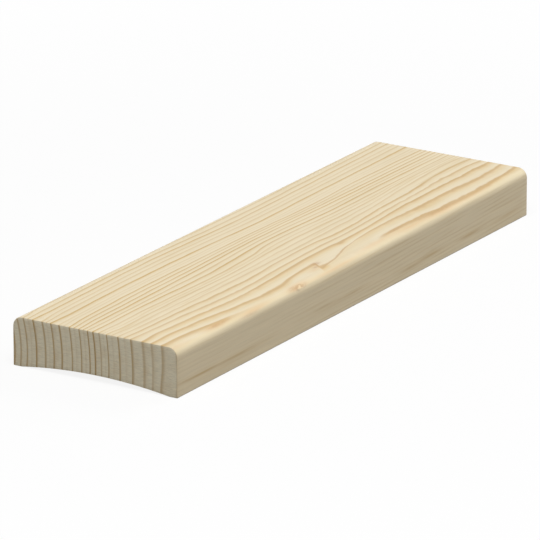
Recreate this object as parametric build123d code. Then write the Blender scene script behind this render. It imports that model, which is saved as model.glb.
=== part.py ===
from build123d import *
import os

# A length of plain architrave moulding: one solid strip of planed pine, fixed flat round a door
# or window frame. Its front face is flat with both long edges rounded, its sides are square, and
# its back is hollowed so that it bears on a narrow flat foot along each edge.
#
# The frame is centred on the back. X runs across the face, Y along the grain and Z out of the
# wall, and the feet lie on Z = 0.

# Driving dimensions, in millimetres
face_width = 56.0  # across the face, edge to edge
thickness = 15.0  # from the feet to the front face
length = 200.0  # from sawn end to sawn end
front_edge_radius = 3.0  # quarter round along each long edge of the front face
foot_width = 2.8  # each foot, from the side face in to the hollow
hollow_depth = 1.9  # how far the hollow stands off the wall at mid width
arris = 0.2  # break of the sharp corners, at the back and round both ends

# The hollow is one arc, which springs from the inner edge of each foot
hollow_half_span = face_width / 2 - foot_width
hollow_radius = (hollow_half_span**2 + hollow_depth**2) / (2 * hollow_depth)


def cross_section():
    """The section across the grain, standing on its feet."""
    with BuildSketch(Plane.XZ) as section:
        Rectangle(face_width, thickness, align=(Align.CENTER, Align.MIN))
        fillet(section.vertices().group_by(Axis.Y)[-1], front_edge_radius)
        chamfer(section.vertices().group_by(Axis.Y)[0], arris)
        with Locations((0, hollow_depth - hollow_radius)):
            Circle(hollow_radius, mode=Mode.SUBTRACT)
    return section.sketch


def architrave():
    """The strip, with the rim of each sawn end eased."""
    with BuildPart() as strip:
        extrude(cross_section(), amount=length / 2, both=True)
        faces_along_grain = strip.faces().sort_by(Axis.Y)
        end_rims = faces_along_grain[0].edges() + faces_along_grain[-1].edges()
        chamfer(end_rims, arris)
    return strip.part


os.makedirs("parts", exist_ok=True)
export_step(architrave(), "parts/architrave.step")
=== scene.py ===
import math

import bpy
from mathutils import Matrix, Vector


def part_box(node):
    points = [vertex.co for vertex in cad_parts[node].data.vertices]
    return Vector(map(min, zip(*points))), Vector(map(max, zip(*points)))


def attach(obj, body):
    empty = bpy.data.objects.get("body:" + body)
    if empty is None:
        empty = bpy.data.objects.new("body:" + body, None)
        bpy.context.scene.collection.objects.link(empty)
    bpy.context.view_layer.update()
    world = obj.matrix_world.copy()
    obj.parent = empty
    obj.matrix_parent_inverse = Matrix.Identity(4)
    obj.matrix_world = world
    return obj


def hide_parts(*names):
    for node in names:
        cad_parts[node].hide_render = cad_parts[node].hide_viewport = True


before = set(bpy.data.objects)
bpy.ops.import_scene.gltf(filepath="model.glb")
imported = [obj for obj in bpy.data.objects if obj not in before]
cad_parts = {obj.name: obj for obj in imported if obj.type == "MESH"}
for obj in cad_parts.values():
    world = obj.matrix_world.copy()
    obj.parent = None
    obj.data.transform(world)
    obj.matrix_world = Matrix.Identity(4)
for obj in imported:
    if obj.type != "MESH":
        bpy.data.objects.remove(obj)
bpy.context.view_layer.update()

# A short length of architrave moulding in planed, unfinished softwood, lying on its back.
# X runs across its face, Y along the grain and Z out of the front face. Lengths are in metres,
# apart from those of the wood's figure, which are in millimetres from the same origin.

MM = 0.001

# Section of the strip
strip_low, strip_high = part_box("architrave")
face_width = strip_high.x - strip_low.x
thickness = strip_high.z - strip_low.z
length = strip_high.y - strip_low.y
edge_radius = 3.0 * MM
foot_width = 2.8 * MM
hollow_depth = 1.9 * MM
arris = 0.2 * MM
section_centre = Vector((0, 0, thickness / 2))

# Fineness of the mesh
rounding_steps = 12
face_steps = 100
side_cuts = 13
strip_steps = 60
arris_steps = 3
smooth_angle = math.radians(35)

# How squarely a face looks along the grain to count as a sawn end, or down to count as the back
end_facing = 0.95
back_facing = 0.5

# Bands of the flat map, each as its start and its size: along the whole strip, across each end,
# up the unrolled front and sides, up the back and up the ends
map_along = (0.004, 0.992)
map_near_end = (0.004, 0.492)
map_far_end = (0.504, 0.492)
map_front = (0.006, 0.574)
map_back = (0.592, 0.250)
map_ends = (0.855, 0.135)

# Half the length of the strip in millimetres, and how far from the near end the rings settle
half_length = round(length / 2 / MM, 3)
end_reach = 10.0

# Pith of the tree, in millimetres, well to the left of the strip
pith_x = -63.0
pith_z = 4.5

# Growth rings from left to right. Each has the radius of its dark line about the pith, in
# millimetres, along the strip and at the near end, and how dark the line is on the faces and on
# the sawn ends
FACE_RADIUS, END_RADIUS, FACE_DARKNESS, END_DARKNESS = range(4)
growth_rings = [
    (31.0, 31.0, 0.40, 0.60),
    (33.4, 33.2, 0.45, 0.60),
    (35.4, 35.7, 0.50, 0.85),
    (37.4, 37.8, 0.45, 0.65),
    (39.2, 40.0, 0.40, 0.75),
    (41.4, 41.5, 0.45, 0.10),
    (43.5, 43.1, 0.65, 0.95),
    (45.5, 46.4, 0.30, 0.72),
    (47.2, 47.6, 0.35, 0.05),
    (49.7, 49.1, 0.80, 0.85),
    (51.9, 52.0, 0.20, 0.85),
    (53.0, 53.5, 0.20, 0.05),
    (54.7, 55.4, 0.70, 0.78),
    (56.4, 56.9, 0.60, 0.05),
    (58.2, 58.6, 0.75, 0.85),
    (59.9, 60.0, 0.85, 0.05),
    (61.8, 61.4, 0.50, 1.00),
    (63.6, 63.3, 0.80, 1.00),
    (66.0, 65.4, 0.55, 0.50),
    (67.4, 66.6, 0.30, 0.05),
    (68.8, 67.8, 0.50, 0.95),
    (70.4, 69.6, 0.32, 0.05),
    (72.0, 71.7, 0.42, 0.82),
    (74.2, 73.8, 0.72, 0.05),
    (76.2, 76.0, 0.64, 0.75),
    (78.9, 80.1, 0.95, 0.42),
    (82.4, 83.0, 0.95, 0.32),
    (85.8, 86.5, 1.00, 0.50),
    (89.6, 91.5, 0.10, 0.50),
    (93.5, 94.3, 0.10, 0.50),
]

# One ring from its inner edge to its outer one, in shares of a ring
ring_lead = 0.22  # how far inside the listed radius it begins
line_full = 0.15  # where its line is fully dark
line_hold = 0.18  # where the line starts to fade
face_line_gone = 0.46  # where it has faded out on the faces
end_line_gone = 0.42  # where it has faded out on the sawn ends
trail_fade = (0.10, 0.95)  # where the paler trail behind it starts to fade and has faded out
trail_loss = 6.5  # times the share of a ring by which its line starts late, what a trail loses

# The two outer rings on the face, by the radius of their lines. Along the strip these lists say
# where the hooked one's line starts, how far each line's fade reaches, all as shares of a ring,
# and how strong the outermost one is
hooked_radius = 82.4
outermost_radius = 85.8
hooked_start = [(-100, 0.0), (-14, 0.0), (-11, 0.09), (8, 0.08), (20, 0.0), (100, 0.0)]
hooked_reach = [(-100, 0.46), (-17, 0.46), (-13, 0.30), (-8, 0.24), (6, 0.24), (16, 0.34),
                (30, 0.46), (100, 0.46)]
outermost_reach = [(-100, 0.62), (-78, 0.72), (-60, 0.46), (20, 0.46), (45, 0.80), (70, 0.80),
                   (86, 0.50), (100, 0.45)]
outermost_strength = [(-100, 1.0), (-75, 1.0), (-68, 0.45), (-60, 0.15), (-52, 0.0), (11, 0.0),
                      (20, 0.50), (32, 1.0), (100, 1.0)]

# How the grain wanders along the strip: the radius of a growth ring, then places along the
# strip from the near end to the far one, and how far the ring stands to the right of its plain
# circle there, all in millimetres
grain_guides = [
    (42.4, [(-100, 0.0), (-45, -1.0), (0, 0.3), (20, 0.5), (60, -0.1), (100, -0.8)]),
    (49.7, [(-100, 0.0), (-50, -0.9), (-20, -0.5), (15, 0.5), (40, 0.1), (100, -0.4)]),
    (54.7, [(-100, 0.0), (-40, -1.0), (0, -0.8), (35, 0.0), (62, -0.7), (100, -0.1)]),
    (58.2, [(-100, 0.0), (-40, -1.1), (0, -1.8), (40, -1.0), (100, -0.4)]),
    (60.8, [(-100, 0.0), (-40, -1.0), (0, -2.2), (40, -1.3), (100, -0.6)]),
    (63.6, [(-100, 0.0), (-75, -0.6), (-45, -0.1), (0, -2.2), (35, -1.2), (60, -1.6), (100, -1.2)]),
    (66.0, [(-100, 0.0), (-75, -0.5), (-40, 0.3), (-20, -0.5), (0, -2.6), (40, -1.6), (100, -1.7)]),
    (68.6, [(-100, 0.0), (-70, -0.6), (-40, 0.0), (5, -1.6), (40, -1.2), (80, -2.9), (100, -2.4)]),
    (72.0, [(-100, 0.0), (-60, 0.7), (-30, 0.8), (20, 0.0), (40, -0.6), (65, -2.6), (90, -3.8),
            (100, -3.3)]),
    (74.2, [(-100, 0.0), (-75, 0.4), (-42, 1.8), (-15, 0.4), (0, 0.1), (16, 1.1), (40, -0.1),
            (60, -0.9), (88, -3.0), (100, -2.0)]),
    (76.2, [(-100, 0.0), (-80, 0.9), (-45, 3.0), (-20, 1.8), (0, 1.2), (12, 1.4), (40, 0.2),
            (60, -0.6), (88, -1.5), (100, -1.0)]),
    (78.9, [(-100, 0.0), (-75, 1.8), (-50, 3.2), (-30, 2.5), (-10, 1.1), (0, 1.0), (15, 1.5),
            (30, 0.7), (55, -0.7), (100, -0.5)]),
    (80.5, [(-100, 0.0), (-75, 1.8), (-50, 3.8), (-30, 3.0), (-13, 1.8), (-5, 1.6), (15, 1.3),
            (30, 0.4), (55, -0.1), (100, 0.1)]),
    (82.4, [(-100, 0.0), (-75, 1.8), (-60, 3.7), (-40, 5.0), (-28, 3.3), (-20, 2.5), (-13.4, 2.3),
            (-11.4, 6.2), (-8.3, 5.8), (-2.5, 4.1), (6.4, 2.0), (20, 0.4), (35, 0.1), (50, 0.9),
            (63, 0.5), (80, 1.7), (100, 0.8)]),
    (85.8, [(-100, 0.0), (-80, 2.1), (-75, 3.0), (-55, 4.6), (-40, 4.8), (-22, 2.6), (-14, 3.0),
            (-11, 6.2), (8, 6.0), (20, 2.8), (33, 2.2), (60, 3.8), (80, 3.3), (100, 2.1)]),
]
guide_reach = 8.0  # the farthest that a guide may push a ring, in millimetres
# Small kinks in the grain: where each sits, how far it reaches and how hard it pushes the rings
# to the right, in millimetres
grain_kinks = [
    ((18.0, 7.0, 15.0), (1.4, 2.6, 12.0), 1.0),
    ((23.5, -100.0, 1.0), (3.0, 12.0, 6.0), -0.9),
]
# The hook, where the rings lean back towards the near end over a short stretch, in millimetres
hook_x = 20.8  # where the lean sets in, across the strip
hook_y = -14.0  # the middle of the hook, along the strip
hook_reach = 7.0  # how far it reaches along the strip
hook_lean = 1.2  # how far the rings lean back for each millimetre farther right

# Patch sizes of the wood's soft noises, in millimetres across, along and through the strip
slow_wander = (9.0, 40.0, 14.0)
quick_wander = (3.0, 8.0, 5.0)
outer_wander = (4.0, 4.5, 6.0)
fine_fibre = (0.22, 9.0, 0.22)
coarse_fibre = (0.8, 34.0, 0.8)
tone_patch = (3.0, 36.0, 3.0)
calm_fibre = (0.7, 14.0, 0.7)
side_wave = (6.0, 36.0, 2.5)
side_gap = (9.0, 24.0, 1.8)
streak_gap = (6.0, 12.0, 0.5)
knot_fray = (0.6, 1.3, 0.6)
saw_marks = (2.2, 1.0, 0.36)
end_pores = (0.25, 1.0, 0.25)
end_patch = (5.0, 1.0, 5.0)
noise_mean = 0.5
crisp_detail = 3.0  # more octaves than the plain two, for the finest noises
crisp_roughness = 0.6  # stronger small detail than the plain half
coarse_share = 0.5  # how much of the fibre is coarse, and the rest is fine

# Small wanders of the rings, in millimetres
slow_push = 0.5  # how far the slow noise pushes them
quick_push = 0.45  # how far the quick noise does
wander_mean = 0.47  # taken off, so that the rings keep their places on the whole
end_wander = 0.25  # the share of it all that is left at the near end
# How much the outer rings waver along the strip, in millimetres, with a calm stretch at the
# hook, and between which radii that sets in
outer_waver = [(-100, 0.0), (-92, 0.0), (-78, 0.7), (-48, 0.7), (-30, 0.0), (8, 0.0), (30, 0.8),
               (100, 0.9)]
waver_radii = (68.0, 78.0)

# From here on, a fade is written as where it starts and where it stops, and what it gives at
# each, or 0 and 1 where that isn't said

# Soft streaks in the calm stretch right of the middle
calm_streak = (0.50, 0.68)  # fade by the noise
calm_left = (0.0, 3.0)  # fade across the strip where the stretch begins, in millimetres
calm_right = (8.0, 11.0, 1.0, 0.0)  # fade where it ends
calm_share = 0.50  # how strongly the streaks show

# Faint lines on the sides
side_turn = 4.8  # radians of their wave for each millimetre of height
side_shift = 9.0  # radians by which noise shifts the wave
side_crest = (-0.2, 1.0)  # fade by the wave
side_strength = (0.32, 0.68, 0.02, 0.42)  # fade by the noise
side_along = (-60.0, 20.0, 0.45, 1.0)  # fade along the strip, in millimetres
climb_from = -60.0  # where along the strip the lines are lowest, in millimetres
climb_rate = 0.00012  # times the square of the way from there, their climb in millimetres

# Brown streaks low on the right side: place, reach and strength, in millimetres
brown_streaks = [
    ((28.0, -87.0, 3.9), (6.0, 13.0, 0.48), 0.95),
    ((28.0, -68.0, 3.7), (6.0, 17.0, 0.60), 0.75),
    ((28.0, -71.0, 2.4), (6.0, 16.0, 0.60), 0.30),
    ((28.0, -19.0, 4.7), (6.0, 8.0, 0.45), 0.55),
    ((28.0, -5.0, 4.4), (6.0, 11.0, 0.40), 0.70),
    ((28.0, -14.0, 3.6), (6.0, 12.0, 0.60), 0.30),
    ((28.0, 31.0, 2.9), (6.0, 7.0, 0.50), 0.80),
    ((28.0, 41.0, 3.5), (6.0, 9.0, 0.50), 0.95),
    ((28.0, 65.0, 3.5), (6.0, 6.5, 0.60), 0.95),
    ((28.0, 88.0, 3.6), (6.0, 9.0, 0.45), 0.65),
]
streak_fray = (0.30, 0.60, 0.6, 1.0)  # how ragged they are, a fade by the noise

# Honey-coloured patches on and beside the right rounding: place, reach and strength, in
# millimetres
honey_patches = [
    ((26.4, -98.0, 14.5), (1.0, 6.0, 1.2), 0.35),
    ((26.1, -77.0, 14.8), (0.9, 6.0, 1.3), 0.52),
    ((26.9, -57.0, 14.2), (1.0, 8.0, 1.3), 0.55),
    ((26.9, -33.0, 14.2), (1.2, 5.5, 1.6), 0.60),
    ((23.9, -18.5, 15.0), (1.2, 3.5, 2.0), 0.40),
    ((27.2, -11.0, 13.9), (1.0, 12.0, 1.2), 0.60),
    ((25.9, 12.0, 14.9), (1.1, 9.0, 1.4), 0.36),
    ((26.4, 32.0, 14.6), (0.9, 9.0, 1.2), 0.55),
    ((26.7, 51.0, 14.5), (0.8, 10.0, 1.2), 0.48),
    ((26.4, 70.0, 14.6), (0.7, 8.0, 1.0), 0.38),
]
honey_fibre = 2.4  # how much the fibre shows in them
# Darker brown at the hook, round the knot and on the outermost ring, in the same way
brown_patches = [
    ((21.3, -13.4, 15.0), (0.9, 1.7, 2.0), 0.60),
    ((22.9, -16.2, 15.0), (0.6, 1.4, 2.0), 0.45),
    ((26.0, -75.5, 14.9), (0.6, 4.5, 1.0), 0.35),
    ((27.5, -60.5, 13.6), (0.4, 4.5, 0.6), 0.35),
    ((24.4, 26.0, 15.0), (0.6, 6.0, 1.5), 0.30),
    ((26.0, 50.0, 14.8), (0.7, 9.0, 1.0), 0.25),
    ((26.8, -35.5, 14.3), (0.8, 2.0, 1.2), 0.35),
    ((27.0, -28.8, 14.1), (0.5, 0.9, 0.8), 0.15),
]
brown_fray = (0.25, 0.70, 0.5, 1.4)  # how ragged they are, a fade by the noise

# A small knot on the rounding, with a dark speck beside it, in millimetres
pin_knot = (27.3, -32.2, 13.9)
pin_knot_size = (0.7, 1.5, 0.7)
pin_knot_fray = 2.6  # how far its outline frays, in shares of its size
core_fade = (0.2, 1.1)  # from its pale core outwards, in the same shares
rim_fade = (1.0, 2.2, 0.42, 0.0)  # its brown rim, in the same shares
knot_speck = (27.6, -33.4, 13.5)
knot_speck_size = (0.5, 0.7, 0.5)
speck_strength = 0.6

# Sides and right rounding
side_reach = 0.9 * MM  # how far the finish of a side reaches on to the front
edge_reach = 2.0 * MM  # how far in from the right side the plainer wood of the rounding begins
edge_share = 0.7  # how strongly that wood shows
foot_shade_height = 0.6 * MM  # how high the painted shade along the foot of each side reaches, where it meets the floor
foot_shade_tone = 0.50  # its tone at the very foot, where the painted shade is darkest

# Rings on the planed faces
right_turn = (2.0 * MM, 20.0 * MM)  # fade across the strip, from straw to honey
patch_lines = (-0.22, 0.22, 0.72, 1.52)  # their strength, a fade by patches of tone
left_part = (-14.0 * MM, 4.0 * MM, 1.0, 0.0)  # fade across the strip, out of its left part
left_lines = (-30.0 * MM, 30.0 * MM, 1.12, 0.92)  # their strength there, a fade along the strip
trail_shares = (0.82, 0.94)  # strength of the trails on the left and on the right
right_lines = (-70.0 * MM, -25.0 * MM, 0.56, 0.70)  # strength of the lines along the right

# Wood of the planed faces
haze = (-0.05, 0.25, 0.0, 0.25)  # its darker tone, a fade by patches of tone
fibre_shares = (0.18, 0.30)  # how strongly the fibre shows on the front and on the sides
planed_roughness = (0.0, 0.8, 0.52, 0.42)  # fade from plain wood to a ring's line
line_ridge = 0.5  # how much a ring's line stands up beside the fibre
planed_relief = 0.012 * MM

# Sawn ends
mark_gaps = (0.3, 0.7, 0.75, 1.0)  # how the saw marks break up the ring lines, a fade by them
end_warmth = 0.25  # how brown the trails behind the rings are
end_browning = (0.45, 0.75, 0.0, 0.22)  # how brown the wood is, a fade by patches
mark_tone = 0.56  # how much lighter the wood is between the saw marks
pore_tone = 0.24  # how much lighter it is between the pores
end_tone = 0.60  # its darkest tone
sawn_roughness = (0.2, 0.8, 0.85, 0.7)  # fade by the saw marks
sawn_relief = 0.05 * MM

# Camera: a long lens from the right and above
camera_azimuth = math.radians(31.68)
camera_elevation = math.radians(18.28)
camera_distance = 2.145
camera_aim = Vector((1.0 * MM, -6.2 * MM, thickness / 2))
camera_lens = 482.5

# Light and floor. Each lamp has its name, its place, its size and its power in watts. The floor
# glows fully white farther out and a little less round the strip
sky_strength = 0.25
lamps = [
    ("key lamp", Vector((0.30, -0.50, 1.38)), 1.1, 14.6),
    ("back lamp", Vector((0.52, 1.21, 0.72)), 0.8, 6.6),
]
floor_size = 6.0
floor_grey = 0.36
floor_glow = 0.87
glow_spread = (0.12, 0.40)


def srgb(red, green, blue):
    """A colour written in screen values from 0 to 255."""
    def straight(value):
        share = value / 255
        return share / 12.92 if share <= 0.04045 else ((share + 0.055) / 1.055) ** 2.4
    return (straight(red), straight(green), straight(blue), 1.0)


white = srgb(255, 255, 255)
earlywood = srgb(241, 226, 194)
latewood = srgb(203, 164, 107)
honey = srgb(224, 200, 152)
golden_honey = srgb(228, 198, 138)
shade_wood = srgb(229, 210, 170)
straw = srgb(203, 163, 79)
edge_wood = srgb(241, 224, 181)
honey_patch = srgb(230, 192, 136)
knot_rim = srgb(190, 142, 92)
knot_core = srgb(245, 220, 174)
knot_dark = srgb(150, 112, 68)
side_wood = srgb(228, 211, 176)
side_streak = srgb(200, 171, 119)
end_wood = srgb(229, 219, 192)
end_brown = srgb(204, 178, 136)
end_line = srgb(161, 122, 50)


# Small helpers for node trees

def node(tree, kind, inputs=None, output=0, **settings):
    """Adds a node, fills its inputs with values or links, and returns one of its outputs."""
    made = tree.nodes.new(kind)
    for name, value in settings.items():
        setattr(made, name, value)
    for socket, value in (inputs or {}).items():
        if isinstance(value, bpy.types.NodeSocket):
            tree.links.new(value, made.inputs[socket])
        else:
            made.inputs[socket].default_value = value
    return made.outputs[output]


def maths(tree, operation, *values):
    """One arithmetic node."""
    return node(tree, "ShaderNodeMath", dict(enumerate(values)), operation=operation)


def vector_maths(tree, operation, *values):
    """One vector arithmetic node. A dot product and a length come out of its value socket."""
    output = "Value" if operation in ("DOT_PRODUCT", "LENGTH") else "Vector"
    return node(tree, "ShaderNodeVectorMath", dict(enumerate(values)), output, operation=operation)


def axis_of(tree, place, axis):
    """One coordinate of a place."""
    return node(tree, "ShaderNodeSeparateXYZ", {0: place}, axis)


def in_millimetres(tree, place):
    """A place in metres carried over to millimetres."""
    return vector_maths(tree, "MULTIPLY", place, (1 / MM, 1 / MM, 1 / MM))


def ramp(tree, value, start, stop, low=0.0, high=1.0, smooth=True):
    """Value carried from start..stop to low..high, and held beyond them."""
    kind = "SMOOTHSTEP" if smooth else "LINEAR"
    inputs = {0: value, 1: start, 2: stop, 3: low, 4: high}
    return node(tree, "ShaderNodeMapRange", inputs, interpolation_type=kind)


# A Mix node takes numbers in its inputs 2 and 3, and colours in 6 and 7 with the result in output 2

def mix(tree, share, first, second):
    """First where share is 0, second where it is 1, for plain numbers."""
    return node(tree, "ShaderNodeMix", {0: share, 2: first, 3: second}, data_type="FLOAT")


def blend_colour(tree, share, first, second):
    """First where share is 0, second where it is 1, for colours."""
    inputs = {0: share, 6: first, 7: second}
    return node(tree, "ShaderNodeMix", inputs, 2, data_type="RGBA")


def scaled(tree, colour, tone):
    """A colour made lighter or darker by a number about 1."""
    made = tree.nodes.new("ShaderNodeVectorMath")
    made.operation = "SCALE"
    tree.links.new(colour, made.inputs[0])
    tree.links.new(tone, made.inputs["Scale"])
    return made.outputs[0]


def noise(tree, place, stretch, detail=2.0, roughness=0.5):
    """Soft noise about noise_mean, with patches as large as stretch gives, in millimetres."""
    inputs = {"Vector": vector_maths(tree, "DIVIDE", place, stretch), "Scale": 1.0}
    inputs.update({"Detail": detail, "Roughness": roughness})
    return node(tree, "ShaderNodeTexNoise", inputs)


def nearness(tree, place, centre, reach):
    """1 at a centre, fading smoothly to 0 beyond its reach."""
    away = vector_maths(tree, "DIVIDE", vector_maths(tree, "SUBTRACT", place, centre), reach)
    return maths(tree, "POWER", math.exp(-1), vector_maths(tree, "DOT_PRODUCT", away, away))


def curve(tree, value, points, bend="VECTOR"):
    """A line of straight or bent runs through the points, which span 0 to 1 both ways."""
    made = tree.nodes.new("ShaderNodeFloatCurve")
    line = made.mapping.curves[0]
    for _ in range(len(points) - 2):
        line.points.new(0.5, 0.5)
    for point, place in zip(line.points, points):
        point.location = place
        point.handle_type = bend
    made.mapping.update()
    tree.links.new(value, made.inputs["Value"])
    return made.outputs[0]


def along_curve(tree, along, points):
    """A value that changes along the strip, through places in millimetres from its middle."""
    shares = [((y + half_length) / (2 * half_length), value) for y, value in points]
    return curve(tree, along, shares, "AUTO_CLAMPED")


def make_group(name, fill):
    """A node group that takes a place in metres and gives what fill makes of it, by name."""
    group = bpy.data.node_groups.new(name, "ShaderNodeTree")
    group.interface.new_socket("Place", in_out="INPUT", socket_type="NodeSocketVector")
    entry = group.nodes.new("NodeGroupInput")
    found = fill(group, in_millimetres(group, entry.outputs["Place"]))
    leave = group.nodes.new("NodeGroupOutput")
    for output, value in found.items():
        group.interface.new_socket(output, in_out="OUTPUT", socket_type="NodeSocketFloat")
        group.links.new(value, leave.inputs[output])
    return group


def group_outputs(tree, group, place):
    """Places a node group and gives its outputs by name."""
    made = tree.nodes.new("ShaderNodeGroup")
    made.node_tree = group
    tree.links.new(place, made.inputs["Place"])
    return made.outputs


# Growth rings, with their places in millimetres

def ring_number(tree, radius, column):
    """How many rings lie inside a radius, by one column of the list of rings."""
    radii = [ring[column] for ring in growth_rings]
    span = radii[-1] - radii[0]
    last = len(radii) - 1
    points = [((each - radii[0]) / span, i / last) for i, each in enumerate(radii)]
    share = ramp(tree, radius, radii[0], radii[-1], smooth=False)
    return maths(tree, "MULTIPLY", curve(tree, share, points), float(last))


def ring_darkness(tree, number, column):
    """How dark a ring's line is, by one column of the list of rings."""
    last = len(growth_rings) - 1
    points = [(i / last, ring[column]) for i, ring in enumerate(growth_rings)]
    return curve(tree, maths(tree, "DIVIDE", number, float(last)), points)


def from_ring(tree, number, radius):
    """0 up to the ring before the one whose line has this radius, and 1 from that ring on."""
    first = [ring[FACE_RADIUS] for ring in growth_rings].index(radius)
    return ramp(tree, number, first - 1.0, float(first))


def plain_radius(tree, place):
    """Distance from the pith, with the small kinks taken out of it."""
    from_pith = vector_maths(tree, "SUBTRACT", place, (pith_x, 0.0, pith_z))
    across = vector_maths(tree, "MULTIPLY", from_pith, (1.0, 0.0, 1.0))
    radius = vector_maths(tree, "LENGTH", across)
    for centre, reach, push in grain_kinks:
        radius = maths(tree, "MULTIPLY_ADD", nearness(tree, place, centre, reach), -push, radius)
    return radius


def hook_shift(tree, place):
    """How far the grain leans back at the hook, more so the farther right it runs."""
    lengthways = vector_maths(tree, "MULTIPLY", place, (0.0, 1.0, 0.0))
    near_hook = nearness(tree, lengthways, (0.0, hook_y, 0.0), (1.0, hook_reach, 1.0))
    beyond = maths(tree, "MAXIMUM", maths(tree, "SUBTRACT", axis_of(tree, place, "X"), hook_x), 0.0)
    return maths(tree, "MULTIPLY", maths(tree, "MULTIPLY", beyond, hook_lean), near_hook)


def guide_place(tree, along, ring, points):
    """The radius at which a ring stands, all along the strip."""
    shares = [(y, 0.5 + push / (2 * guide_reach)) for y, push in points]
    share = along_curve(tree, along, shares)
    return ramp(tree, share, 0.0, 1.0, ring - guide_reach, ring + guide_reach, False)


def guided_radius(tree, radius, along):
    """The radius that a place has once the guides are straightened."""
    places = [guide_place(tree, along, ring, points) for ring, points in grain_guides]
    rings = [ring for ring, points in grain_guides]
    inner = maths(tree, "MINIMUM", maths(tree, "SUBTRACT", radius, places[0]), 0.0)
    outer = maths(tree, "MAXIMUM", maths(tree, "SUBTRACT", radius, places[-1]), 0.0)
    found = maths(tree, "ADD", maths(tree, "ADD", inner, outer), rings[0])
    for i in range(len(rings) - 1):
        run = ramp(tree, radius, places[i], places[i + 1], 0.0, rings[i + 1] - rings[i], False)
        found = maths(tree, "ADD", found, run)
    return found


def small_wander(tree, place, radius, along):
    """The small unevenness of all rings, and the wavers of the outer ones."""
    slow = noise(tree, place, slow_wander)
    quick = maths(tree, "MULTIPLY", noise(tree, place, quick_wander), quick_push)
    wander = maths(tree, "MULTIPLY_ADD", slow, slow_push, quick)
    y = axis_of(tree, place, "Y")
    settle = ramp(tree, y, -half_length, end_reach - half_length, end_wander)
    wander = maths(tree, "MULTIPLY", maths(tree, "SUBTRACT", wander, wander_mean), settle)
    waver = maths(tree, "SUBTRACT", noise(tree, place, outer_wander), noise_mean)
    waver = maths(tree, "MULTIPLY", waver, along_curve(tree, along, outer_waver))
    waver = maths(tree, "MULTIPLY", waver, ramp(tree, radius, *waver_radii))
    return maths(tree, "ADD", wander, waver)


def ring_radius(tree, place):
    """Radius of the ring that runs through a place, once the wandering is taken out of it."""
    radius = plain_radius(tree, place)
    leaning = maths(tree, "ADD", axis_of(tree, place, "Y"), hook_shift(tree, place))
    along = ramp(tree, leaning, -half_length, half_length, smooth=False)
    wander = small_wander(tree, place, radius, along)
    return maths(tree, "ADD", guided_radius(tree, radius, along), wander)


def grow_rings(tree, place):
    """Dark lines along the strip and on its ends, and the fade that trails behind each."""
    radius = ring_radius(tree, place)
    y = axis_of(tree, place, "Y")
    near_end = ramp(tree, y, -half_length, end_reach - half_length, 1.0, 0.0)
    on_strip = ring_number(tree, radius, FACE_RADIUS)
    number = mix(tree, near_end, on_strip, ring_number(tree, radius, END_RADIUS))
    number = maths(tree, "ADD", number, ring_lead)
    whole = maths(tree, "FLOOR", number)
    part = maths(tree, "SUBTRACT", number, whole)
    along = ramp(tree, y, -half_length, half_length, smooth=False)
    outer = from_ring(tree, whole, hooked_radius)
    outermost = from_ring(tree, whole, outermost_radius)
    start = mix(tree, outer, 0.0, along_curve(tree, along, hooked_start))
    gone = mix(tree, outer, face_line_gone, along_curve(tree, along, hooked_reach))
    gone = mix(tree, outermost, gone, along_curve(tree, along, outermost_reach))
    strength = mix(tree, outermost, 1.0, along_curve(tree, along, outermost_strength))
    rise = ramp(tree, part, start, line_full)
    line = maths(tree, "MULTIPLY", rise, ramp(tree, part, line_hold, gone, 1.0, 0.0))
    cut = maths(tree, "MULTIPLY", rise, ramp(tree, part, line_hold, end_line_gone, 1.0, 0.0))
    trail = maths(tree, "MULTIPLY", rise, ramp(tree, part, *trail_fade, 1.0, 0.0))
    trail = maths(tree, "MULTIPLY", trail, maths(tree, "MULTIPLY_ADD", start, -trail_loss, 1.0))
    dark = maths(tree, "MULTIPLY", ring_darkness(tree, whole, FACE_DARKNESS), strength)
    return {
        "Line": maths(tree, "MULTIPLY", line, dark),
        "Trail": maths(tree, "MULTIPLY", trail, dark),
        "End line": maths(tree, "MULTIPLY", cut, ring_darkness(tree, whole, END_DARKNESS)),
    }


# Fibre and the figure of the sides, with their places in millimetres

def grow_fibre(tree, place):
    """Fine streaks along the grain, slow patches of tone, and the faint figure of the sides."""
    fine = noise(tree, place, fine_fibre, crisp_detail, crisp_roughness)
    coarse = noise(tree, place, coarse_fibre)
    streak = mix(tree, coarse_share, fine, coarse)
    patch = noise(tree, place, tone_patch)
    return {
        "Streak": maths(tree, "SUBTRACT", streak, noise_mean),
        "Patch": maths(tree, "SUBTRACT", patch, noise_mean),
        "Calm": calm_streaks(tree, place),
        "Side": side_figure(tree, place),
    }


def calm_streaks(tree, place):
    """Short soft streaks in the calm stretch right of the middle."""
    streaks = ramp(tree, noise(tree, place, calm_fibre), *calm_streak)
    x = axis_of(tree, place, "X")
    zone = maths(tree, "MULTIPLY", ramp(tree, x, *calm_left), ramp(tree, x, *calm_right))
    return maths(tree, "MULTIPLY", streaks, zone)


def climbed(tree, place):
    """A place with the climb of the side's lines taken out of its height."""
    x, y, z = [axis_of(tree, place, axis) for axis in "XYZ"]
    past = maths(tree, "SUBTRACT", y, climb_from)
    climb = maths(tree, "MULTIPLY", maths(tree, "MULTIPLY", past, past), -climb_rate)
    return node(tree, "ShaderNodeCombineXYZ", {0: x, 1: y, 2: maths(tree, "ADD", z, climb)})


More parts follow.
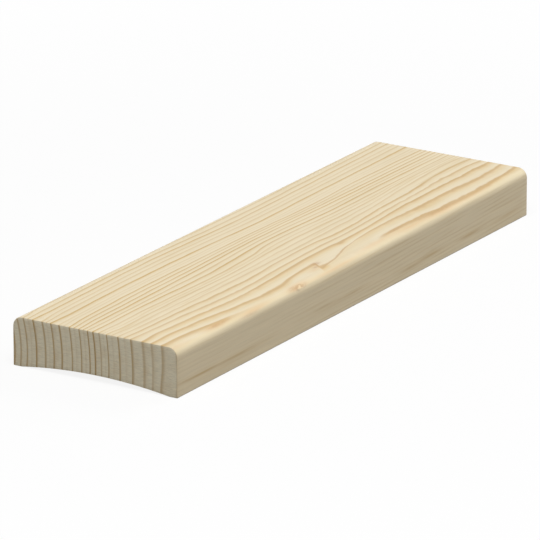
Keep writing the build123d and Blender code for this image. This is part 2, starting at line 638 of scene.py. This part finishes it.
def side_figure(tree, place):
    """Faint lines along the sides, which climb towards the far end, and a few brown streaks."""
    level_place = climbed(tree, place)
    level = axis_of(tree, level_place, "Z")
    shift = maths(tree, "MULTIPLY", noise(tree, place, side_wave), side_shift)
    wave = maths(tree, "SINE", maths(tree, "MULTIPLY_ADD", level, side_turn, shift))
    strength = ramp(tree, noise(tree, place, side_gap), *side_strength)
    by_length = ramp(tree, axis_of(tree, place, "Y"), *side_along)
    strength = maths(tree, "MULTIPLY", strength, by_length)
    figure = maths(tree, "MULTIPLY", ramp(tree, wave, *side_crest), strength)
    ragged = ramp(tree, noise(tree, place, streak_gap), *streak_fray)
    for (x, y, z), reach, darkness in brown_streaks:
        centre = (x, y, z - climb_rate * (y - climb_from)**2)
        near = maths(tree, "MULTIPLY", nearness(tree, level_place, centre, reach), darkness)
        figure = maths(tree, "MAXIMUM", figure, maths(tree, "MULTIPLY", near, ragged))
    return figure


# Finishes

def blank_material(name):
    """A material with its Principled node at hand and an object place."""
    material = bpy.data.materials.new(name)
    material.use_nodes = True
    tree = material.node_tree
    place = node(tree, "ShaderNodeTexCoord", output="Object")
    return material, tree, tree.nodes["Principled BSDF"], place


def bumped(tree, surface, height, depth):
    """Raises the surface by a plain height times a depth in metres."""
    normal = node(tree, "ShaderNodeBump", {"Strength": 1.0, "Distance": depth, "Height": height})
    tree.links.new(normal, surface.inputs["Normal"])


def line_strength(tree, x, y, patch):
    """How strongly the rings show on the faces, by patches and along the left of the strip."""
    by_patch = ramp(tree, patch, *patch_lines, smooth=False)
    left = ramp(tree, x, *left_part)
    along = mix(tree, left, 1.0, ramp(tree, y, *left_lines))
    return maths(tree, "MULTIPLY", by_patch, along)


def ringed_colour(tree, y, to_right, trail, line):
    """Earlywood with the rings' trails and lines, straw on the left and honey on the right."""
    trail_share = maths(tree, "MULTIPLY", trail, mix(tree, to_right, *trail_shares))
    trail_colour = blend_colour(tree, to_right, honey, golden_honey)
    colour = blend_colour(tree, trail_share, earlywood, trail_colour)
    right_share = ramp(tree, y, *right_lines)
    line_share = maths(tree, "MULTIPLY", line, mix(tree, to_right, 1.0, right_share))
    line_colour = blend_colour(tree, to_right, straw, latewood)
    return blend_colour(tree, line_share, colour, line_colour)


def patched(tree, place, patches, uneven, colour, tint):
    """Soft patches of a tint over a colour. The place is in millimetres."""
    share = 0.0
    for centre, reach, strength in patches:
        share = maths(tree, "MULTIPLY_ADD", nearness(tree, place, centre, reach), strength, share)
    return blend_colour(tree, maths(tree, "MULTIPLY", share, uneven), colour, tint)


def knotted(tree, place, streak, colour):
    """Honey and brown patches and one pin knot over a colour."""
    millimetres = in_millimetres(tree, place)
    ragged = noise(tree, millimetres, knot_fray)
    uneven = maths(tree, "MULTIPLY_ADD", streak, honey_fibre, 1.0)
    colour = patched(tree, millimetres, honey_patches, uneven, colour, honey_patch)
    rough = ramp(tree, ragged, *brown_fray, smooth=False)
    colour = patched(tree, millimetres, brown_patches, rough, colour, knot_rim)
    from_knot = vector_maths(tree, "SUBTRACT", millimetres, pin_knot)
    away = vector_maths(tree, "LENGTH", vector_maths(tree, "DIVIDE", from_knot, pin_knot_size))
    frayed = maths(tree, "MULTIPLY_ADD", ragged, pin_knot_fray, away)
    frayed = maths(tree, "SUBTRACT", frayed, pin_knot_fray * noise_mean)
    outside = ramp(tree, frayed, *core_fade)
    rim = maths(tree, "MULTIPLY", outside, ramp(tree, frayed, *rim_fade))
    colour = blend_colour(tree, rim, colour, knot_rim)
    colour = blend_colour(tree, maths(tree, "SUBTRACT", 1.0, outside), colour, knot_core)
    speck = nearness(tree, millimetres, knot_speck, knot_speck_size)
    return blend_colour(tree, maths(tree, "MULTIPLY", speck, speck_strength), colour, knot_dark)


def planed_material(rings, fibre):
    """The planed faces: pale earlywood, honey latewood, fine streaks and painted shade along the
    foot of the sides.
    """
    material, tree, surface, place = blank_material("planed softwood")
    ring = group_outputs(tree, rings, place)
    grain = group_outputs(tree, fibre, place)
    x, y, z = [axis_of(tree, place, axis) for axis in "XYZ"]
    half = face_width / 2
    on_side = ramp(tree, maths(tree, "ABSOLUTE", x), half - side_reach, half)
    on_edge = ramp(tree, x, half - edge_reach, half - side_reach, 0.0, edge_share)
    to_right = ramp(tree, x, *right_turn)
    strength = line_strength(tree, x, y, grain["Patch"])
    trail = maths(tree, "MULTIPLY", ring["Trail"], strength)
    line = maths(tree, "MULTIPLY", ring["Line"], strength)
    colour = ringed_colour(tree, y, to_right, trail, line)
    colour = blend_colour(tree, ramp(tree, grain["Patch"], *haze), colour, shade_wood)
    calm = maths(tree, "MULTIPLY", grain["Calm"], calm_share)
    colour = blend_colour(tree, calm, colour, honey)
    colour = blend_colour(tree, on_edge, colour, edge_wood)
    colour = knotted(tree, place, grain["Streak"], colour)
    side_colour = blend_colour(tree, grain["Side"], side_wood, side_streak)
    colour = blend_colour(tree, on_side, colour, side_colour)
    fineness = mix(tree, on_side, *fibre_shares)
    tone = maths(tree, "MULTIPLY_ADD", grain["Streak"], fineness, 1.0)
    # Painted shade: the sides darken towards their foot, where they meet the floor
    foot = ramp(tree, z, 0.0, foot_shade_height, foot_shade_tone, 1.0)
    tone = maths(tree, "MULTIPLY", tone, mix(tree, on_side, 1.0, foot))
    tree.links.new(scaled(tree, colour, tone), surface.inputs["Base Color"])
    tree.links.new(ramp(tree, line, *planed_roughness), surface.inputs["Roughness"])
    ridge = maths(tree, "MULTIPLY_ADD", line, line_ridge, grain["Streak"])
    bumped(tree, surface, ridge, planed_relief)
    return material


def sawn_material(rings):
    """The sawn ends: greyer, rougher wood with thin brown ring lines and fine saw streaks."""
    material, tree, surface, place = blank_material("sawn end grain")
    ring = group_outputs(tree, rings, place)
    millimetres = in_millimetres(tree, place)
    marks = noise(tree, millimetres, saw_marks, crisp_detail, crisp_roughness)
    pores = noise(tree, millimetres, end_pores, roughness=crisp_roughness)
    patch = noise(tree, millimetres, end_patch)
    line_share = maths(tree, "MULTIPLY", ring["End line"], ramp(tree, marks, *mark_gaps))
    warm = maths(tree, "MULTIPLY", ring["Trail"], end_warmth)
    brown = maths(tree, "ADD", warm, ramp(tree, patch, *end_browning))
    colour = blend_colour(tree, brown, end_wood, end_brown)
    colour = blend_colour(tree, line_share, colour, end_line)
    pitted = maths(tree, "MULTIPLY", pores, pore_tone)
    rough = maths(tree, "MULTIPLY_ADD", marks, mark_tone, pitted)
    colour = scaled(tree, colour, maths(tree, "ADD", rough, end_tone))
    tree.links.new(colour, surface.inputs["Base Color"])
    tree.links.new(ramp(tree, marks, *sawn_roughness), surface.inputs["Roughness"])
    bumped(tree, surface, rough, sawn_relief)
    return material


# Shape of the strip

def start_line(place):
    """One loose vertex, from which an outline is drawn."""
    bpy.ops.mesh.select_all(action="DESELECT")
    bpy.ops.mesh.primitive_plane_add(size=MM, location=place)
    bpy.ops.mesh.merge(type="CENTER")


def draw_straight(move, steps):
    """Carries the line on in a straight run of equal steps."""
    step = Vector(move) / steps
    for _ in range(steps):
        bpy.ops.mesh.extrude_region_move(TRANSFORM_OT_translate={"value": step})


def draw_arc(centre, angle, steps):
    """Carries the line on round a centre."""
    bpy.ops.mesh.spin(steps=steps, angle=-angle, center=centre, axis=(0, 1, 0))


def draw_front(y):
    """The front of the section: a rounding, the flat face and the other rounding."""
    half = face_width / 2
    quarter = math.pi / 2
    start_line((-half, y, thickness - edge_radius))
    draw_arc((edge_radius - half, y, thickness - edge_radius), quarter, rounding_steps)
    draw_straight((face_width - 2 * edge_radius, 0, 0), face_steps)
    draw_arc((half - edge_radius, y, thickness - edge_radius), quarter, rounding_steps)


def draw_back(y):
    """The back of the section, in as many steps as the front: a foot, the hollow and a foot."""
    half_span = face_width / 2 - foot_width
    radius = (half_span**2 + hollow_depth**2) / (2 * hollow_depth)
    turn = 2 * math.asin(half_span / radius)
    start_line((-face_width / 2, y, arris))
    draw_straight((arris, 0, -arris), 1)
    draw_straight((foot_width - arris, 0, 0), rounding_steps - 1)
    draw_arc((0, y, hollow_depth - radius), turn, face_steps)
    draw_straight((foot_width - arris, 0, 0), rounding_steps - 1)
    draw_straight((arris, 0, arris), 1)


def draw_section(y):
    """The section as a fine grid of faces, which stands at y and is left selected."""
    draw_front(y)
    draw_back(y)
    bpy.ops.mesh.select_all(action="SELECT")
    bpy.ops.mesh.bridge_edge_loops(number_cuts=side_cuts, interpolation="LINEAR")
    bpy.ops.mesh.select_all(action="SELECT")


def resize_section(y, before, after):
    """Takes the selected section from one inset to another."""
    across = (face_width - 2 * after) / (face_width - 2 * before)
    upright = (thickness - 2 * after) / (thickness - 2 * before)
    centre = section_centre + Vector((0, y, 0))
    bpy.ops.transform.resize(value=(across, 1, upright), center_override=centre)


def section_stations():
    """Places along the strip and the section's inset there, from the near end to the far one."""
    eased = []
    for step in range(arris_steps + 1):
        angle = step / arris_steps * math.pi / 2
        eased.append((arris * (1 - math.cos(angle)), arris * (1 - math.sin(angle))))
    half = length / 2
    near = [(-half + depth, inset) for depth, inset in eased]
    far = [(half - depth, inset) for depth, inset in reversed(eased)]
    run = length - 2 * arris
    middle = [(-half + arris + run * i / strip_steps, 0.0) for i in range(1, strip_steps)]
    return near + middle + far


def model_strip():
    """The whole strip: its section drawn at the near end and drawn out along the grain."""
    bpy.ops.object.select_all(action="DESELECT")
    bpy.ops.mesh.primitive_plane_add(size=MM, location=(0, 0, 0))
    strip = bpy.context.object
    strip.name = "architrave_strip"
    bpy.ops.object.mode_set(mode="EDIT")
    bpy.ops.mesh.select_all(action="SELECT")
    bpy.ops.mesh.delete(type="VERT")
    stations = section_stations()
    y, inset = stations[0]
    draw_section(y)
    resize_section(y, 0.0, inset)
    for next_y, next_inset in stations[1:]:
        bpy.ops.mesh.extrude_region_move(TRANSFORM_OT_translate={"value": (0, next_y - y, 0)})
        if next_inset != inset:
            resize_section(next_y, inset, next_inset)
        y, inset = next_y, next_inset
    bpy.ops.mesh.select_all(action="SELECT")
    bpy.ops.mesh.normals_make_consistent(inside=False)
    bpy.ops.object.mode_set(mode="OBJECT")
    return strip


def is_end(face):
    """Whether a face belongs to a sawn end."""
    return abs(face.normal.y) > end_facing


def run_round(x, z):
    """Distance round the section from the left foot over the front to the right foot."""
    half = face_width / 2
    flat = half - edge_radius
    side = thickness - edge_radius
    corner = edge_radius * math.pi / 2
    reach_x = abs(x) - flat
    reach_z = z - side
    if reach_z <= 0:
        return z if x < 0 else 2 * side + 2 * corner + 2 * flat - z
    if reach_x <= 0:
        return side + corner + flat + x
    turned = edge_radius * math.atan2(reach_z, reach_x)
    if x < 0:
        return side + turned
    return side + 2 * corner + 2 * flat - turned


def on_map(band, share):
    """A place on the flat map, at a share of the way through one of its bands."""
    start, size = band
    return start + size * share


def lay_flat(strip):
    """A map that unrolls the strip along its grain, with its back and both ends set beside it."""
    mesh = strip.data
    flat_map = mesh.uv_layers.new(name="OFBake")
    whole_run = run_round(face_width / 2, 0.0)
    for face in mesh.polygons:
        for corner in face.loop_indices:
            x, y, z = mesh.vertices[mesh.loops[corner].vertex_index].co
            u = on_map(map_along, y / length + 0.5)
            if is_end(face):
                band = map_near_end if face.normal.y < 0 else map_far_end
                u = on_map(band, x / face_width + 0.5)
                v = on_map(map_ends, z / thickness)
            elif face.normal.z < -back_facing:
                v = on_map(map_back, x / face_width + 0.5)
            else:
                v = on_map(map_front, run_round(x, z) / whole_run)
            flat_map.data[corner].uv = (u, v)


# Making and placing everything

def set_camera():
    """The camera on its line of sight."""
    back = Vector((
        math.sin(camera_azimuth) * math.cos(camera_elevation),
        -math.cos(camera_azimuth) * math.cos(camera_elevation),
        math.sin(camera_elevation),
    ))
    data = bpy.data.cameras.new("camera")
    data.lens = camera_lens
    camera = bpy.data.objects.new("camera", data)
    camera.location = camera_aim + back * camera_distance
    camera.rotation_euler = (-back).to_track_quat("-Z", "Y").to_euler()
    bpy.context.scene.collection.objects.link(camera)
    bpy.context.scene.camera = camera


def straight_look(tree):
    """1 for what the camera sees, straight or in glass or gloss, and 0 for soft light."""
    ray = tree.nodes.new("ShaderNodeLightPath")
    seen = maths(tree, "MAXIMUM", ray.outputs["Is Camera Ray"], ray.outputs["Is Glossy Ray"])
    return maths(tree, "MAXIMUM", seen, ray.outputs["Is Transmission Ray"])


def set_sky():
    """A white sky, which lights softly and shows as plain white."""
    world = bpy.data.worlds.new("white room")
    world.use_nodes = True
    tree = world.node_tree
    seen = straight_look(tree)
    sky = tree.nodes["Background"]
    sky.inputs["Color"].default_value = white
    tree.links.new(mix(tree, seen, sky_strength, 1.0), sky.inputs["Strength"])
    bpy.context.scene.world = world


def set_lamps():
    """A large soft lamp above, and a weaker one behind that lights the rounded edge."""
    for name, place, size, power in lamps:
        data = bpy.data.lights.new(name, "AREA")
        data.shape = "SQUARE"
        data.size = size
        data.energy = power
        lamp = bpy.data.objects.new(name, data)
        lamp.location = place
        lamp.rotation_euler = place.to_track_quat("Z", "Y").to_euler()
        bpy.context.scene.collection.objects.link(lamp)


def floor_material():
    """White floor that keeps a light shadow round the strip, and is clear from beneath."""
    material = bpy.data.materials.new("pale floor")
    material.use_nodes = True
    tree = material.node_tree
    tree.nodes.clear()
    seen = straight_look(tree)
    grey = (floor_grey, floor_grey, floor_grey, 1)
    matt = node(tree, "ShaderNodeBsdfDiffuse", {"Color": blend_colour(tree, seen, grey, white)})
    glow = node(tree, "ShaderNodeEmission", {"Color": white, "Strength": 1.0})
    far_off = vector_maths(tree, "LENGTH", node(tree, "ShaderNodeTexCoord", output="Object"))
    glowing = ramp(tree, far_off, *glow_spread, floor_glow, 1.0)
    share = maths(tree, "MULTIPLY", seen, glowing)
    front = node(tree, "ShaderNodeMixShader", {0: share, 1: matt, 2: glow})
    clear = node(tree, "ShaderNodeBsdfTransparent")
    beneath = node(tree, "ShaderNodeNewGeometry", output="Backfacing")
    both = node(tree, "ShaderNodeMixShader", {0: beneath, 1: front, 2: clear})
    end = tree.nodes.new("ShaderNodeOutputMaterial")
    tree.links.new(both, end.inputs["Surface"])
    return material


def set_floor():
    """The floor that the strip lies on."""
    bpy.ops.object.select_all(action="DESELECT")
    bpy.ops.mesh.primitive_plane_add(size=floor_size, location=(0, 0, 0))
    floor = bpy.context.object
    floor.name = "floor"
    floor.data.materials.append(floor_material())


def finish_strip(strip):
    """Planed wood on the faces, sawn wood on the ends, the flat map and smooth shading."""
    rings = make_group("growth rings", grow_rings)
    fibre = make_group("wood fibre", grow_fibre)
    strip.data.materials.append(planed_material(rings, fibre))
    strip.data.materials.append(sawn_material(rings))
    for face in strip.data.polygons:
        face.material_index = 1 if is_end(face) else 0
    lay_flat(strip)
    bpy.context.view_layer.objects.active = strip
    bpy.ops.object.shade_smooth_by_angle(angle=smooth_angle)


def main():
    set_camera()
    set_sky()
    set_lamps()
    set_floor()
    strip = model_strip()
    finish_strip(strip)
    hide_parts("architrave")
    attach(strip, "root")


main()
bpy.context.scene.view_settings.view_transform = "Standard"
